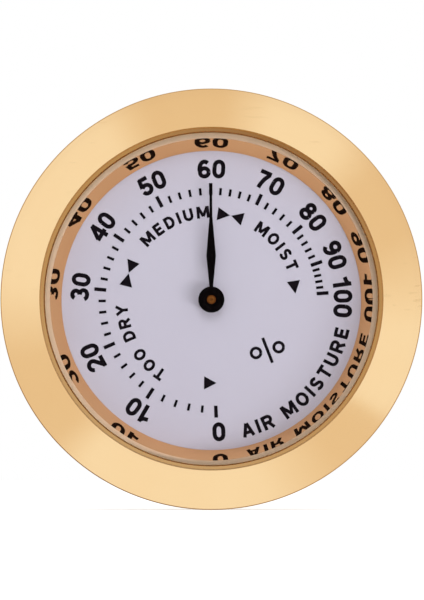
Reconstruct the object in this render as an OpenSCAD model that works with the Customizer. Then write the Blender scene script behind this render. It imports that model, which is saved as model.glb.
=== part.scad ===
// Dial hygrometer of the panel-insert kind. A drawn cup holds a humidity coil, its bearings and an
// adjuster; a printed dial, a mirror-bright cone ring, a gasket and a flat lens are stacked in its mouth,
// and a push-on bezel closes it. A ribbed rubber band round the cup grips the hole that it is set in.
// The dial faces -Y and twelve o'clock is +Z. The origin is the centre of the seat behind the flange.
// Each piece is drawn with the dial facing up, so that +z is the front, and is then turned to face -Y.

/* [Bezel] */
// Outside diameter of the bezel, which the case and all that is stacked in it follow
bezel_d = 45; // [40:0.5:60]
// How far the bezel's flange reaches past the case
flange_w = 3.3; // [2.4:0.1:5]
// Slope of the bezel's front face, in degrees
bezel_slope = 12; // [6:1:16]
// How far the bezel's lip reaches in over the lens
lip_reach = 0.9; // [0.5:0.05:1.1]
// Height of the steep wall between the lens and the bevel
wall_h = 0.5; // [0.2:0.05:0.8]
// Width that the steep wall opens out by
wall_w = 0.2; // [0.1:0.05:0.5]
// Width of the bright bevel round the window
bevel_w = 0.4; // [0.1:0.05:0.6]
// Height of the bright bevel round the window
bevel_h = 0.3; // [0.1:0.05:0.6]
// Radius of the bezel's front outer edge
edge_r = 0.15; // [0.1:0.05:0.5]
// Chamfer of the bezel's rear outer edge
rear_chamfer = 0.25; // [0.1:0.05:0.5]
// Width of the relief behind the flange, round the case
relief_w = 1; // [0.6:0.1:1.5]
// Depth of the relief behind the flange
relief_h = 0.5; // [0.2:0.1:0.8]

/* [Lens, gasket and reflector ring] */
// Thickness of the lens
lens_t = 1; // [0.8:0.1:1.5]
// Ground chamfer on the lens's edges
lens_chamfer = 0.15; // [0.05:0.05:0.3]
// Play between the stacked rings and the case, on the radius
stack_play = 0.1; // [0.05:0.01:0.2]
// Width of the gasket ring behind the lens
gasket_w = 1.35; // [1.1:0.05:1.6]
// Thickness of the gasket ring
gasket_t = 0.4; // [0.2:0.1:0.8]
// Height of the reflector ring, from the dial to the gasket
reflector_h = 2.6; // [2.2:0.1:3.4]
// Slope of the reflector's cone from the axis, in degrees
reflector_slope = 25.5; // [20:0.5:32]
// Height of the reflector's upright foot, between the dial and the cone
reflector_foot_h = 0.2; // [0.1:0.05:0.6]
// Sheet thickness of the reflector ring
reflector_t = 0.35; // [0.25:0.05:0.5]

/* [Dial] */
// Thickness of the dial plate
dial_t = 0.4; // [0.3:0.05:0.8]
// Diameter of the hole for the spindle
dial_hole_d = 2.2; // [2:0.1:3]
// Diameter of the peg that keeps the dial upright
peg_d = 0.8; // [0.6:0.1:0.9]
// Inner radius of the ring of scale marks
scale_r = 11.35; // [9:0.05:12]
// Length of a mark for every two percent
minor_mark_l = 0.78; // [0.5:0.02:1]
// Length of a mark for every ten percent
major_mark_l = 1.28; // [1:0.02:1.8]
// Width of a mark for every two percent
minor_mark_w = 0.28; // [0.1:0.02:0.4]
// Width of a mark for every ten percent
major_mark_w = 0.38; // [0.2:0.02:0.5]
// Thickness of the printed ink
ink_t = 0.03; // [0.02:0.01:0.06]

/* [Pointer] */
// Reading that the pointer shows, in percent
reading = 60; // [0:1:100]
// Length of the pointer from its pivot to its tip
pointer_l = 12.4; // [10:0.1:13.4]
// Sheet thickness of the pointer
pointer_t = 0.2; // [0.15:0.05:0.4]
// Space between the dial and the pointer
pointer_rise = 1.1; // [0.8:0.1:1.4]
// Width of the pointer at its tip
tip_w = 0.26; // [0.15:0.01:0.4]
// Width of the pointer where its slim end begins
waist_w = 0.31; // [0.2:0.01:0.5]
// Distance from the pivot to where the slim end begins
waist_at = 8.95; // [7:0.05:9.5]
// Width of the pointer at its widest
belly_w = 1.03; // [0.7:0.01:1.4]
// Distance from the pivot to the widest point
belly_at = 4.7; // [3:0.05:6]
// Width of the pointer where it leaves the hub
neck_w = 0.39; // [0.25:0.01:0.6]
// Diameter of the pointer's hub
hub_d = 2.8; // [2.4:0.1:3.4]
// Height of the pointer's hub
hub_h = 0.6; // [0.5:0.05:0.9]
// Diameter of the dish in the hub's face
dish_d = 1.9; // [1.6:0.05:2.1]
// Depth of the dish in the hub's face
dish_h = 0.3; // [0.1:0.05:0.4]
// Outside diameter of the bush behind the pointer
pointer_bush_d = 1.8; // [1.5:0.1:2]
// Length of the bush behind the pointer
pointer_bush_l = 0.7; // [0.4:0.1:1.2]

/* [Spindle and bearings] */
// Diameter of the spindle
spindle_d = 0.96; // [0.8:0.02:1.2]
// Diameter of the spindle's rear pivot
pivot_d = 0.6; // [0.4:0.05:0.7]
// Length of the rear pivot inside the adjuster
pivot_l = 0.8; // [0.5:0.1:1]
// Play of a turning fit, on the radius
running_play = 0.03; // [0.02:0.01:0.06]
// End play between turning faces
end_play = 0.05; // [0.03:0.01:0.1]
// Wall of the bearing bushes
bush_wall = 0.9; // [0.6:0.1:1.2]
// Width of the flange round a bearing bush
bush_flange_w = 0.6; // [0.4:0.1:0.8]
// Thickness of the flange of a bearing bush
bush_flange_t = 0.4; // [0.3:0.05:0.5]
// How far the front bush stands out of the bridge
bush_stand = 0.2; // [0.1:0.05:0.4]

/* [Bridge] */
// Sheet thickness of the bridge
bridge_t = 0.6; // [0.4:0.1:0.8]
// Width of the bridge's arms
bridge_w = 3.6; // [3.4:0.1:5]
// Diameter of the bridge's centre
bridge_hub_d = 8; // [6:0.2:10]
// Space between the dial and the bridge
bridge_drop = 1; // [0.8:0.1:1.6]
// Diameter of a pillar
pillar_d = 2.4; // [2:0.1:3]
// Space between a pillar and the path of the anchor arm
pillar_gap = 1.2; // [0.8:0.1:2.2]
// Diameter of a pillar's riveted foot
rivet_d = 1.3; // [1:0.1:1.6]
// Height of a riveted head
rivet_h = 0.2; // [0.1:0.05:0.3]
// Diameter of a bridge screw
screw_d = 1; // [0.8:0.1:1.2]
// Length of a bridge screw below its head
screw_l = 2.2; // [1.8:0.1:2.8]
// Diameter of a screw's head
screw_head_d = 2; // [1.8:0.1:2.4]
// Height of a screw's head
screw_head_h = 0.5; // [0.4:0.05:0.6]
// Width of a screwdriver slot
slot_w = 0.4; // [0.3:0.05:0.6]
// Depth of a screwdriver slot
slot_h = 0.22; // [0.15:0.01:0.3]

/* [Humidity coil] */
// Turns of the humidity coil
coil_turns = 9; // [6:1:10]
// Thickness of the coil's strip
strip_t = 0.2; // [0.15:0.01:0.25]
// Space between two turns of the coil
turn_gap = 0.55; // [0.5:0.01:0.62]
// Diameter of the collet that holds the coil's inner end
collet_d = 2.6; // [2.2:0.1:3]
// How far the collet stands out of the coil at each side
collet_stand = 0.2; // [0.1:0.05:0.3]
// Space between the collet and the adjuster, which leaves the coil the rest of the depth
collet_gap = 0.6; // [0.3:0.1:1]

/* [Adjuster] */
// Width of the anchor arm
arm_w = 2.4; // [2:0.1:3]
// Sheet thickness of the anchor arm
arm_t = 0.3; // [0.2:0.05:0.4]
// Inside radius of the anchor arm's bend
arm_bend_r = 0.4; // [0.2:0.05:0.6]
// Diameter of the rivet through the coil's outer end
coil_rivet_d = 0.5; // [0.4:0.05:0.7]
// Diameter of the adjuster's stem
stud_d = 2.4; // [2:0.1:3]
// Diameter of the adjuster's spigot, which carries the anchor arm
spigot_d = 1.8; // [1.5:0.1:1.9]
// How far the spigot stands out of the anchor arm
spigot_stand = 0.2; // [0.1:0.05:0.4]
// Diameter of the adjuster's slotted head
stud_head_d = 3.8; // [3.2:0.1:4.4]
// Height of the adjuster's slotted head
stud_head_h = 0.42; // [0.35:0.01:0.48]
// Height of the dished spring washer
spring_h = 0.5; // [0.4:0.05:0.7]
// Sheet thickness of the dished spring washer
spring_t = 0.15; // [0.1:0.01:0.2]

/* [Case] */
// How far the case reaches behind the flange's seat
case_depth = 9.6; // [9.2:0.1:14]
// How far the case reaches in front of the flange's seat
rim_h = 2.3; // [2:0.1:3]
// Sheet thickness of the case
case_wall = 0.5; // [0.4:0.05:0.6]
// Width of the shoulder that the dial rests on
shoulder_w = 1.2; // [1:0.1:1.6]
// Outside radius of the case's rear corner
corner_r = 1; // [0.7:0.1:1.4]
// Depth of the recess stamped in the case's back
field_recess = 0.6; // [0.55:0.05:0.8]
// Slope of the step round the recess, measured along the back
joggle_w = 0.4; // [0.3:0.05:0.6]
// Flat margin between a pillar and the step round the recess
field_margin = 0.9; // [0.6:0.1:1.2]
// Number of vents in the back
vent_count = 6; // [4:1:8]
// Radius of the ring of vents
vent_r = 7.4; // [6:0.1:8]
// Width of a vent
vent_w = 2; // [1.4:0.1:2.4]
// Angle between the centres of a vent's round ends, in degrees
vent_arc = 28; // [14:1:30]

/* [Retaining band] */
// Thickness of the rubber band below its ribs
band_t = 0.7; // [0.5:0.05:1]
// Number of ribs
rib_count = 3; // [2:1:4]
// Height of a rib above the band
rib_h = 0.8; // [0.7:0.05:1.1]
// Width of a rib's flat top
rib_top_w = 0.6; // [0.4:0.05:0.7]
// Width of a rib at its foot
rib_foot_w = 0.9; // [0.8:0.05:1]
// Distance from one rib to the next
rib_pitch = 1.25; // [1.1:0.05:1.4]

/* [Hidden] */
$fn = 96;
cut = 0.1;              // how far a cut runs past the face that it opens
arc_steps = 6;          // straight steps in a small rounded edge
coil_steps = 20;        // straight steps in one turn of the coil

// Where the scale's tens lie, in degrees clockwise from twelve o'clock: the coil doesn't turn evenly
tens_at = [-182.4, -146.7, -114, -84.5, -56, -27.8, -0.3, 25.3, 50.6, 70.7, 86.4];
marks_per_ten = 5;

// Levels along the axis, from the front to the back
z_rim = rim_h;
z_lens = z_rim - lens_t;
z_gasket = z_lens - gasket_t;
z_dial = z_gasket - reflector_h;
z_shoulder = z_dial - dial_t;
z_pointer = z_dial + pointer_rise;
z_tip = z_pointer + hub_h - dish_h / 2;
z_bridge = z_shoulder - bridge_drop;
z_bridge_rear = z_bridge - bridge_t;
z_back = -case_depth;
z_field = z_back + field_recess;
z_floor = z_field + case_wall;
z_rear_bush = z_floor + bush_flange_t;
z_arm_rear = z_rear_bush + spring_h + end_play;
z_arm = z_arm_rear + arm_t;
z_spigot = z_arm + spigot_stand;
z_collet = z_bridge_rear - bush_flange_t - end_play;
z_collet_rear = z_spigot + collet_gap;
z_coil = z_collet - collet_stand;
z_coil_rear = z_collet_rear + collet_stand;

// Radii that several pieces share
front_r = bezel_d / 2 - flange_w;
mouth_r = front_r - case_wall;
lens_r = mouth_r - stack_play;
inner_r = mouth_r - shoulder_w;
body_r = inner_r + case_wall;
window_r = lens_r - lip_reach;
gasket_r = lens_r - gasket_w;
reflector_foot_r = gasket_r - (reflector_h - reflector_foot_h) * tan(reflector_slope);
peg_at = mouth_r - peg_d / 2 - stack_play;
spindle_r = spindle_d / 2;
stud_r = stud_d / 2;
front_bush_r = spindle_r + running_play + bush_wall;
rear_bush_r = stud_r + running_play + bush_wall;

// The coil, a flat spiral whose last stretch lies straight along the anchor arm's tab
coil_w = z_coil - z_coil_rear;
coil_pitch = strip_t + turn_gap;
coil_start_r = collet_d / 2 + running_play + strip_t / 2;
coil_end_r = coil_start_r + coil_pitch * coil_turns;
tab_in = coil_end_r + strip_t / 2;
tab_out = tab_in + arm_t;
arm_reach = norm([tab_out, arm_w / 2]);
pillar_at = arm_reach + pillar_gap + pillar_d / 2;
field_r = pillar_at + pillar_d / 2 + field_margin;

// Points of an arc about c, from angle a to angle b
function arc(c, r, a, b) = [for (i = [0 : arc_steps]) let (t = a + (b - a) * i / arc_steps)
    [c.x + r * cos(t), c.y + r * sin(t)]];

// Angle of a reading on the scale, between the tens on either side of it
function reading_angle(percent) = let (ten = min(floor(percent / 10), len(tens_at) - 2))
    tens_at[ten] + (tens_at[ten + 1] - tens_at[ten]) * (percent / 10 - ten);

// Centre of the coil's strip after a number of turns, which ends at twelve o'clock
function coil_point(turns) = let (a = 90 + 360 * (turns - coil_turns))
    (coil_start_r + coil_pitch * turns) * [cos(a), sin(a)];

module face_front() { rotate([90, 0, 0]) children(); }

module turned(profile) { rotate_extrude() polygon(profile); }

// A washer or tube between two levels
module ring(outer_r, bore_r, z_top, z_bottom) {
    translate([0, 0, z_bottom]) difference() {
        cylinder(r = outer_r, h = z_top - z_bottom);
        translate([0, 0, -cut]) cylinder(r = bore_r, h = z_top - z_bottom + 2 * cut);
    }
}

// Sets a piece at both pillars
module at_pillars() { for (side = [-1, 1]) translate([side * pillar_at, 0, 0]) children(); }

// Polished ring with a sloping face, a bevelled window, a lip over the lens and a flat seat behind
module bezel() {
    r = bezel_d / 2;
    wall_r = window_r + wall_w;
    wall_z = z_rim + wall_h;
    bevel_r = wall_r + bevel_w;
    bevel_z = wall_z + bevel_h;
    edge_z = bevel_z - (r - bevel_r) * tan(bezel_slope);
    edge_c = [r - edge_r, edge_z - edge_r * tan(45 - bezel_slope / 2)];
    color("goldenrod") face_front() turned(concat(
        [[front_r, z_rim], [window_r, z_rim], [wall_r, wall_z], [bevel_r, bevel_z]],
        arc(edge_c, edge_r, 90 - bezel_slope, 0),
        [[r, rear_chamfer], [r - rear_chamfer, 0], [front_r + relief_w, 0],
         [front_r + relief_w, relief_h], [front_r, relief_h]]));
}

// Flat glass with ground edges
module lens() {
    c = lens_chamfer;
    color("lightcyan", 0.3) face_front() turned([
        [0, z_lens], [lens_r - c, z_lens], [lens_r, z_lens + c],
        [lens_r, z_rim - c], [lens_r - c, z_rim], [0, z_rim]]);
}

module lens_gasket() { color("linen") face_front() ring(lens_r, gasket_r, z_lens, z_gasket); }

// Pressed ring of channel section: an upright foot, a bright cone, a land under the gasket and a skirt
module reflector_ring() {
    t = reflector_t;
    bend_z = z_dial + reflector_foot_h;
    land_z = z_gasket - t;
    under_r = gasket_r + t / cos(reflector_slope) - t * tan(reflector_slope);
    color("peru") face_front() turned([
        [reflector_foot_r, z_dial], [reflector_foot_r, bend_z], [gasket_r, z_gasket], [lens_r, z_gasket],
        [lens_r, z_dial], [lens_r - t, z_dial], [lens_r - t, land_z], [under_r, land_z],
        [reflector_foot_r + t, bend_z - t * tan(reflector_slope / 2)], [reflector_foot_r + t, z_dial]]);
}

// White disc with the spindle's hole and a notch at six o'clock for the case's peg
module dial_plate() {
    color("ghostwhite") face_front() difference() {
        ring(lens_r, dial_hole_d / 2, z_dial, z_shoulder);
        translate([0, -peg_at, z_shoulder - cut])
            cylinder(d = peg_d + 2 * stack_play, h = dial_t + 2 * cut);
    }
}

// Printed marks: one for every two percent, and a longer one at each ten
module scale_marks() {
    color("black") face_front()
        for (i = [0 : marks_per_ten * (len(tens_at) - 1)]) {
            is_ten = i % marks_per_ten == 0;
            w = is_ten ? major_mark_w : minor_mark_w;
            l = is_ten ? major_mark_l : minor_mark_l;
            rotate([0, 0, -reading_angle(10 * i / marks_per_ten)])
                translate([-w / 2, scale_r, z_dial]) cube([w, l, ink_t]);
        }
}

// Stamped needle, widest near its middle, with a dished hub
module pointer() {
    widths = [[neck_w, 0], [neck_w, hub_d / 2], [belly_w, belly_at], [waist_w, waist_at],
              [tip_w, pointer_l]];
    last = len(widths) - 1;
    outline = concat([for (p = widths) [p.x / 2, p.y]],
                     [for (i = [0 : last]) let (p = widths[last - i]) [-p.x / 2, p.y]]);
    color("black") face_front() rotate([0, 0, -reading_angle(reading)]) translate([0, 0, z_pointer])
        difference() {
            union() {
                linear_extrude(pointer_t) polygon(outline);
                cylinder(d = hub_d, h = hub_h);
            }
            translate([0, 0, -cut]) cylinder(r = spindle_r, h = hub_h + 2 * cut);
            translate([0, 0, hub_h - dish_h]) cylinder(r1 = spindle_r, r2 = dish_d / 2, h = dish_h);
            translate([0, 0, hub_h]) cylinder(d = dish_d, h = cut);
        }
}

module pointer_bush() {
    color("gold") face_front() ring(pointer_bush_d / 2, spindle_r, z_pointer, z_pointer - pointer_bush_l);
}

// Turned shaft with a low dome at its front end and a thin rear pivot
module spindle() {
    dome_h = spindle_r / 4;
    dome_r = (spindle_r * spindle_r + dome_h * dome_h) / (2 * dome_h);
    pivot_r = pivot_d / 2;
    z_step = z_spigot + 4 * end_play;
    color("darkgoldenrod") face_front() turned(concat(
        [[0, z_spigot - pivot_l], [pivot_r, z_spigot - pivot_l], [pivot_r, z_step], [spindle_r, z_step]],
        arc([0, z_tip + dome_h - dome_r], dome_r, 90 - asin(spindle_r / dome_r), 90)));
}

// Bearing in the bridge, flanged at the rear
module front_bush() {
    bore = spindle_r + running_play;
    color("gold") face_front() {
        ring(front_bush_r, bore, z_bridge + bush_stand, z_bridge_rear);
        ring(front_bush_r + bush_flange_w, bore, z_bridge_rear, z_bridge_rear - bush_flange_t);
    }
}

// Stamped bar across the two pillars, with the front bearing in its wide middle
module bridge() {
    color("khaki") face_front() translate([0, 0, z_bridge_rear]) linear_extrude(bridge_t) difference() {
        union() {
            square([2 * pillar_at, bridge_w], center = true);
            circle(d = bridge_hub_d);
            at_pillars() circle(d = bridge_w);
        }
        circle(r = front_bush_r);
        at_pillars() circle(d = screw_d + 2 * stack_play);
    }
}

// Pillars between the case's back and the bridge, riveted through the back and tapped at the front
module pillars() {
    hole_l = screw_l - bridge_t + end_play;
    color("gold") face_front() at_pillars() difference() {
        turned([[0, z_field - rivet_h], [rivet_d / 2, z_field - rivet_h], [rivet_d / 2 + rivet_h, z_field],
                [rivet_d / 2, z_field], [rivet_d / 2, z_floor], [pillar_d / 2, z_floor],
                [pillar_d / 2, z_bridge_rear], [0, z_bridge_rear]]);
        translate([0, 0, z_bridge_rear - hole_l]) cylinder(d = screw_d, h = hole_l + cut);
    }
}

// Slotted screws that hold the bridge on its pillars
module bridge_screws() {
    color("silver") face_front() at_pillars() difference() {
        union() {
            translate([0, 0, z_bridge]) cylinder(d = screw_head_d, h = screw_head_h);
            translate([0, 0, z_bridge - screw_l]) cylinder(d = screw_d, h = screw_l);
        }
        translate([-screw_head_d, -slot_w / 2, z_bridge + screw_head_h - slot_h])
            cube([2 * screw_head_d, slot_w, slot_h + cut]);
    }
}

module collet() {
    color("gold") face_front() ring(collet_d / 2, spindle_r, z_collet, z_collet_rear);
}

// Spiral strip: its inner end lies on the collet, and its outer end runs straight along the tab
module humidity_coil() {
    last = coil_turns * coil_steps;
    middle = [for (i = [0 : last]) coil_point(i / coil_steps)];
    outward = [for (p = middle) p / norm(p) * strip_t / 2];
    tail = [-arm_w / 2, 0];
    outer = concat([for (i = [0 : last]) middle[i] + outward[i]], [middle[last] + outward[last] + tail]);
    inner = concat([middle[last] - outward[last] + tail],
                   [for (i = [0 : last]) let (k = last - i) middle[k] - outward[k]]);
    gaps = [for (i = [0 : last - coil_steps]) for (j = [floor(coil_steps / 2) : last - i])
        norm(middle[i] - middle[i + j]) - strip_t];
    echo(least_gap_between_turns = min(gaps));
    color("sienna") face_front() difference() {
        translate([0, 0, z_coil_rear]) linear_extrude(coil_w) polygon(concat(outer, inner));
        coil_rivet_hole();
    }
}

// The line of the rivet through the coil's end and the tab
module along_rivet() {
    translate([-arm_w / 4, coil_end_r, z_coil - coil_w / 2]) rotate([-90, 0, 0]) children();
}

module coil_rivet_hole() {
    along_rivet() translate([0, 0, -2 * strip_t]) cylinder(d = coil_rivet_d, h = 4 * strip_t + arm_t);
}

// Rivet through the coil's outer end and the tab, with a head on each side
module coil_rivet() {
    head_r = coil_rivet_d / 2 + strip_t;
    shank_r = coil_rivet_d / 2;
    grip = strip_t + arm_t;
    color("gold") face_front() along_rivet() translate([0, 0, -strip_t / 2]) turned([
        [0, -strip_t], [shank_r, -strip_t], [head_r, 0], [shank_r, 0],
        [shank_r, grip], [head_r, grip], [shank_r, grip + strip_t], [0, grip + strip_t]]);
}

// Arm on the adjuster, bent up at its end into the tab that holds the coil
module anchor_arm() {
    hub_r = stud_r + bush_wall;
    bend = [tab_out - arm_t - arm_bend_r, z_arm + arm_bend_r];
    side = concat([[0, z_arm_rear]], arc(bend, arm_bend_r + arm_t, -90, 0),
                  [[tab_out, z_coil], [tab_in, z_coil]], arc(bend, arm_bend_r, 0, -90), [[0, z_arm]]);
    color("khaki") face_front() difference() {
        union() {
            translate([-arm_w / 2, 0, 0]) rotate([90, 0, 90]) linear_extrude(arm_w) polygon(side);
            translate([0, 0, z_arm_rear]) cylinder(r = hub_r, h = arm_t);
        }
        translate([0, 0, z_arm_rear - cut]) cylinder(d = spigot_d, h = arm_t + 2 * cut);
        coil_rivet_hole();
    }
}

// Slotted stud that turns in the back: it carries the anchor arm and the spindle's rear pivot
module adjuster_stud() {
    head_z = z_field - end_play;
    bore_l = pivot_l + 4 * end_play;
    color("gold") face_front() difference() {
        turned([[0, head_z - stud_head_h], [stud_head_d / 2, head_z - stud_head_h],
                [stud_head_d / 2, head_z], [stud_r, head_z], [stud_r, z_arm_rear],
                [spigot_d / 2, z_arm_rear], [spigot_d / 2, z_spigot], [0, z_spigot]]);
        translate([0, 0, z_spigot - bore_l]) cylinder(r = pivot_d / 2 + running_play, h = bore_l + cut);
        translate([-stud_head_d, -slot_w / 2, head_z - stud_head_h - cut])
            cube([2 * stud_head_d, slot_w, slot_h + cut]);
    }
}

// Dished washer that presses the adjuster's head against the back, so that it stays where it is set
module spring_washer() {
    bore = stud_r + 2 * running_play;
    rim = rear_bush_r + bush_flange_w;
    color("silver") face_front() turned([
        [rim, z_rear_bush], [rim, z_rear_bush + spring_t], [bore, z_rear_bush + spring_h],
        [bore, z_rear_bush + spring_h - spring_t]]);
}

// Bearing in the case's back, flanged inside
module rear_bush() {
    bore = stud_r + running_play;
    color("gold") face_front() {
        ring(rear_bush_r + bush_flange_w, bore, z_rear_bush, z_floor);
        ring(rear_bush_r, bore, z_floor, z_field);
    }
}

// One vent: a slot with round ends, bent round the axis
module vent() {
    h = case_wall + 2 * cut;
    translate([0, 0, z_field - cut]) {
        rotate([0, 0, -vent_arc / 2]) rotate_extrude(angle = vent_arc)
            translate([vent_r - vent_w / 2, 0]) square([vent_w, h]);
        for (side = [-1, 1]) rotate([0, 0, side * vent_arc / 2])
            translate([vent_r, 0, 0]) cylinder(d = vent_w, h = h);
    }
}

// Drawn cup: a wide mouth for the stack, a shoulder for the dial, a back with a stamped recess and vents
module case() {
    round_in = corner_r - case_wall;
    round_c = [body_r - corner_r, z_back + corner_r];
    z_under = z_shoulder - case_wall;
    z_inside = z_back + case_wall;
    slant = case_wall * tan(atan2(field_recess, joggle_w) / 2);
    outside = concat(
        [[0, z_field], [field_r, z_field], [field_r + joggle_w, z_back]], arc(round_c, corner_r, -90, 0),
        [[body_r, z_under], [front_r, z_under], [front_r, z_rim]]);
    inside = concat(
        [[mouth_r, z_rim], [mouth_r, z_shoulder], [inner_r, z_shoulder]], arc(round_c, round_in, 0, -90),
        [[field_r + joggle_w + slant, z_inside], [field_r + slant, z_floor], [0, z_floor]]);
    color("gold") face_front() {
        difference() {
            turned(concat(outside, inside));
            translate([0, 0, z_field - cut]) cylinder(r = rear_bush_r, h = case_wall + 2 * cut);
            at_pillars() translate([0, 0, z_field - cut]) cylinder(d = rivet_d, h = case_wall + 2 * cut);
            for (i = [0 : vent_count - 1]) rotate([0, 0, 360 * (i + 0.5) / vent_count]) vent();
        }
        translate([0, -peg_at, z_shoulder - case_wall / 2])
            cylinder(d = peg_d, h = dial_t / 2 + case_wall / 2);
    }
}

// Rubber band on the case behind its shoulder, with flat-topped ribs that grip a panel's hole
module retaining_band() {
    z_top = z_shoulder - case_wall;
    base_r = body_r + band_t;
    band_w = rib_pitch * (rib_count - 1) + rib_foot_w;
    ribs = [for (i = [0 : rib_count - 1]) let (z = z_top - rib_foot_w / 2 - rib_pitch * i) each
        [[base_r, z + rib_foot_w / 2], [base_r + rib_h, z + rib_top_w / 2],
         [base_r + rib_h, z - rib_top_w / 2], [base_r, z - rib_foot_w / 2]]];
    color("dimgray") face_front() turned(concat([[body_r, z_top]], ribs, [[body_r, z_top - band_w]]));
}

bezel();
lens();
lens_gasket();
reflector_ring();
dial_plate();
scale_marks();
pointer();
pointer_bush();
spindle();
front_bush();
bridge();
pillars();
bridge_screws();
collet();
humidity_coil();
coil_rivet();
anchor_arm();
adjuster_stud();
spring_washer();
rear_bush();
case();
retaining_band();
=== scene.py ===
"""Looks of a dial hygrometer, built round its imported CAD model.

The instrument has a polished bezel, a printed dial under flat glass, and a coil movement in a drawn
case. The CAD gives every solid and its place. This script adds the turned and softened pieces, the
print on the dial, the finishes and the studio. All lengths in the classes are millimetres, in the
CAD's frame: the dial faces -Y, twelve o'clock is +Z, and the origin is in the middle of the bezel's
rear seat. Turns on the dial are degrees, clockwise from twelve o'clock.
"""

import logging
import math
from collections.abc import Sequence
from dataclasses import dataclass, field
from enum import Enum

import bpy
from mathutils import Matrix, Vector


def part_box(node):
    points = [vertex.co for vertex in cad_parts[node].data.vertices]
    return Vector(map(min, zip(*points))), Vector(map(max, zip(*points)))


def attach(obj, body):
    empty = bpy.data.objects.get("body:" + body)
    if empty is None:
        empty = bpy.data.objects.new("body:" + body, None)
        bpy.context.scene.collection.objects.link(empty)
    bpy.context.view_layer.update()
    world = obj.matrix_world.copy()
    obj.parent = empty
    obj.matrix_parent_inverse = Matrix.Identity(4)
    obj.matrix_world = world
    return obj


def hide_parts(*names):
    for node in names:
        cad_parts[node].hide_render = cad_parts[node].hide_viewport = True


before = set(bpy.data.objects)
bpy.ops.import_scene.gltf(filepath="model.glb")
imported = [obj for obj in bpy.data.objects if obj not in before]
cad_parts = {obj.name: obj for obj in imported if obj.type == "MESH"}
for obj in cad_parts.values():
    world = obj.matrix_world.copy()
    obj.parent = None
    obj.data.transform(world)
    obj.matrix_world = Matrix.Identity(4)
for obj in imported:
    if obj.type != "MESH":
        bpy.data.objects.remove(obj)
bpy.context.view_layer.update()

MM = 0.001
FULL_TURN = 360
WHITE = "#FFFFFF"
LOG = logging.getLogger("dial_hygrometer")

Colour = tuple[float, float, float, float]
Span = tuple[float, float]
Point = tuple[float, float]
Stroke = list[Point]
Tone = tuple[float, str]
Piece = bpy.types.Object
Material = bpy.types.Material
Tree = bpy.types.NodeTree
Node = bpy.types.Node
Socket = bpy.types.NodeSocket


class Body(Enum):
    """The bodies of the assembly that a piece can move with."""

    CASE = "case_body"
    ADJUSTER = "adjuster"
    POINTER = "pointer_assembly"


class Lay(Enum):
    """Which way the tool marks of a metal run."""

    AROUND = "around"      # turned, spun or buffed about the dial's axis
    ALONG = "along"        # drawn along the dial's axis
    ACROSS = "across"      # rolled sheet, marked along X


class Facing(Enum):
    """Which way the tops of a curved line of print point."""

    OUTWARD = 1.0
    INWARD = -1.0


def linear(colour: str) -> Colour:
    """Turns an sRGB hex colour to linear light.

    Args:
        colour: The colour as "#RRGGBB".

    Returns:
        Red, green, blue and an alpha of 1.
    """
    parts = [int(colour[i:i + 2], 16) / 255 for i in (1, 3, 5)]
    return (*(c / 12.92 if c <= 0.04045 else ((c + 0.055) / 1.055) ** 2.4 for c in parts), 1.0)


def per_mm(size: float) -> float:
    """Gives the texture scale whose features are about this many millimetres wide."""
    return 1 / (size * MM)


def add_node(tree: Tree, kind: str, inputs: dict[str | int, object] | None = None,
             **settings: object) -> Node:
    """Adds a node to a tree, with its settings, its values and its links.

    Args:
        tree: The tree that gets the node.
        kind: The node's type.
        inputs: For each input's name or number, a value or the output to link to it.
        **settings: The node's own properties.

    Returns:
        The new node.
    """
    node = tree.nodes.new(kind)
    for key, value in settings.items():
        setattr(node, key, value)
    for key, value in (inputs or {}).items():
        if isinstance(value, Socket):
            tree.links.new(value, node.inputs[key])
        else:
            node.inputs[key].default_value = value
    return node


def grade(ramp: bpy.types.ColorRamp, tones: Sequence[Tone]) -> None:
    """Gives a ramp its tones.

    Args:
        ramp: The ramp of a node.
        tones: A place from 0 to 1 and a colour for each stop, in order.
    """
    while len(ramp.elements) < len(tones):
        ramp.elements.new(0.5)
    for stop, (spot, _) in zip(ramp.elements, tones):
        stop.position = spot
    for stop, (_, colour) in zip(ramp.elements, tones):
        stop.color = linear(colour)


# Finishes

NOISE_SPAN: Span = (0.3, 0.7)      # where most of a noise lies
BUMP_STRENGTH = 0.5


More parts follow.
